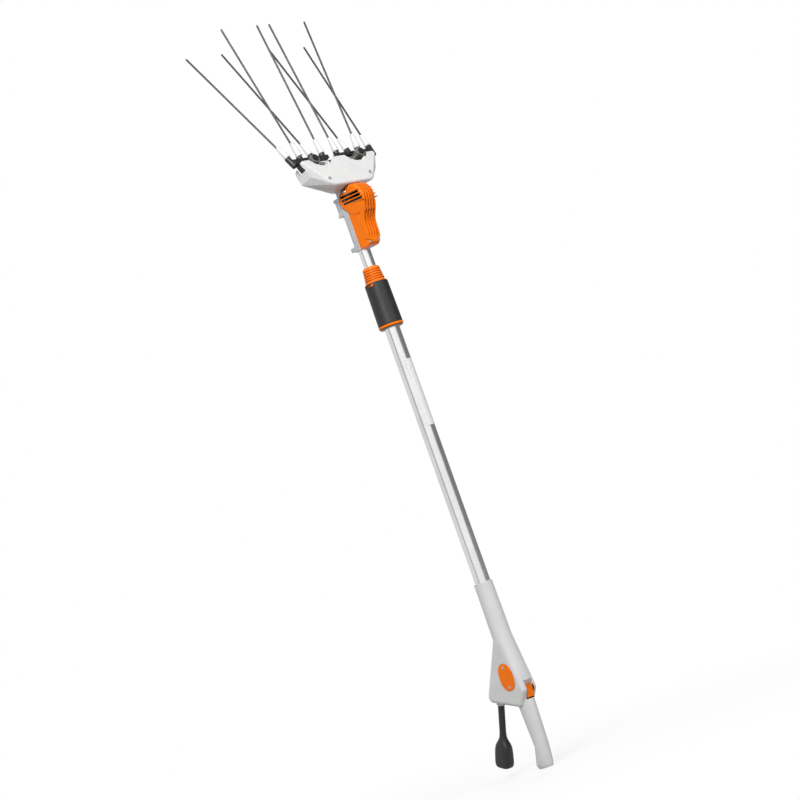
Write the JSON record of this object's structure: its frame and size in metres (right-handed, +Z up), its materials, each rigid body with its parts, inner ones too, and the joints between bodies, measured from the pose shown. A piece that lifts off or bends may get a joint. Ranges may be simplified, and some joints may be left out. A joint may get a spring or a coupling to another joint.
{
  "type": "electric olive harvester",
  "caption": "Hand-held electric olive harvester: telescopic pole with trigger handle, twist clamp and a motor-driven head whose two tined combs swing open and shut.",
  "frame": {"origin": "on the pole's axis at the flat butt of the grip", "axes": "+Z up the pole from the butt to the head, -Y the trigger and motor side, -X the side with the oval cover"},
  "size_m": [0.389, 0.2496, 1.9205],
  "materials": {
    "handle_grey": "fine moulded grain",
    "orange_plastic": "satin moulded",
    "white_plastic": "satin moulded",
    "black_plastic": "fine moulded grain",
    "black_rubber": "matte moulded",
    "tube_aluminium": "drawn and anodised",
    "cast_aluminium": "die cast, bead blasted",
    "steel": "machined",
    "winding_copper": "enamelled windings",
    "bronze": "sintered",
    "circuit_board": "solder mask",
    "tine_rod": "pultruded rod, smooth"
  },
  "bodies": {
    "handle": {"left_handle_shell": "handle_grey", "right_handle_shell": "handle_grey", "handle_screws": "steel", "oval_cover": "orange_plastic", "oval_cover_screws": "steel", "trigger_pin": "steel", "trigger_switch": "black_plastic", "control_board": "circuit_board", "lead_collar": "white_plastic", "lead": "black_rubber", "plug_body": "black_plastic", "lower_tube": "tube_aluminium", "clamp_core": "orange_plastic", "clamp_insert": "black_plastic", "clamp_collet": "black_plastic"},
    "trigger": {"trigger": "orange_plastic"},
    "twist_sleeve": {"clamp_sleeve": "black_plastic"},
    "upper": {"upper_tube": "tube_aluminium", "guide_bush": "black_plastic", "spine": "cast_aluminium", "foot_bolt": "steel", "motor_cover": "orange_plastic", "motor_cover_screws": "steel", "motor_plate": "cast_aluminium", "motor_stator": "winding_copper", "shaft_bearings": "steel", "motor_controller": "circuit_board", "front_head_shell": "white_plastic", "rear_head_shell": "white_plastic", "head_screws": "steel", "head_seal": "black_rubber", "head_frame": "cast_aluminium", "stem_bush": "bronze", "pivot_pins": "steel"},
    "rotor": {"motor_rotor": "steel", "crank": "steel"},
    "yoke": {"drive_yoke": "steel"},
    "left_comb": {"left_rocker": "cast_aluminium", "left_hub_cap": "black_plastic", "left_tine_bar": "black_plastic", "left_boots": "white_plastic", "left_tines": "tine_rod"},
    "right_comb": {"right_rocker": "cast_aluminium", "right_hub_cap": "black_plastic", "right_tine_bar": "black_plastic", "right_boots": "white_plastic", "right_tines": "tine_rod"}
  },
  "joints": [
    {"name": "trigger_press", "type": "hinge", "parent": "handle", "child": "trigger", "pos_m": [0, -0.02, 0.191], "axis": [1, 0, 0], "range_deg": [0, 8], "stiffness_Nm_per_rad": 0.6, "springref_deg": -5.73},
    {"name": "sleeve_twist", "type": "hinge", "parent": "handle", "child": "twist_sleeve", "pos_m": [0, 0, 1.162], "axis": [0, 0, 1], "range_deg": [0, 45]},
    {"name": "telescope_slide", "type": "slide", "parent": "handle", "child": "upper", "axis": [0, 0, 1], "range_m": [0, 0.6]},
    {"name": "left_comb_swing", "type": "hinge", "parent": "upper", "child": "left_comb", "pos_m": [-0.075, 0.00803, 1.52473], "axis": [0, -0.9511, 0.309], "range_deg": [-2, 13.8]},
    {"name": "right_comb_swing", "type": "hinge", "parent": "upper", "child": "right_comb", "pos_m": [0.075, 0.00803, 1.52473], "axis": [0, -0.9511, 0.309], "range_deg": [-13.9, 2.1]},
    {"name": "yoke_slide", "type": "slide", "parent": "upper", "child": "yoke", "axis": [0, 0.309, 0.9511], "range_m": [-0.0021, 0.0141]},
    {"name": "rotor_turn", "type": "hinge", "parent": "upper", "child": "rotor", "pos_m": [0, -0.04205, 1.41588], "axis": [1, 0, 0], "range_deg": [-23, 157.5]}
  ],
  "couplings": [
    {"joint": "right_comb_swing", "follows": "left_comb_swing", "ratio": -1},
    {"joint": "yoke_slide", "follows": "left_comb_swing", "m_per_rad": 0.058},
    {"joint": "rotor_turn", "follows": "left_comb_swing", "ratio": 11.388}
  ]
}
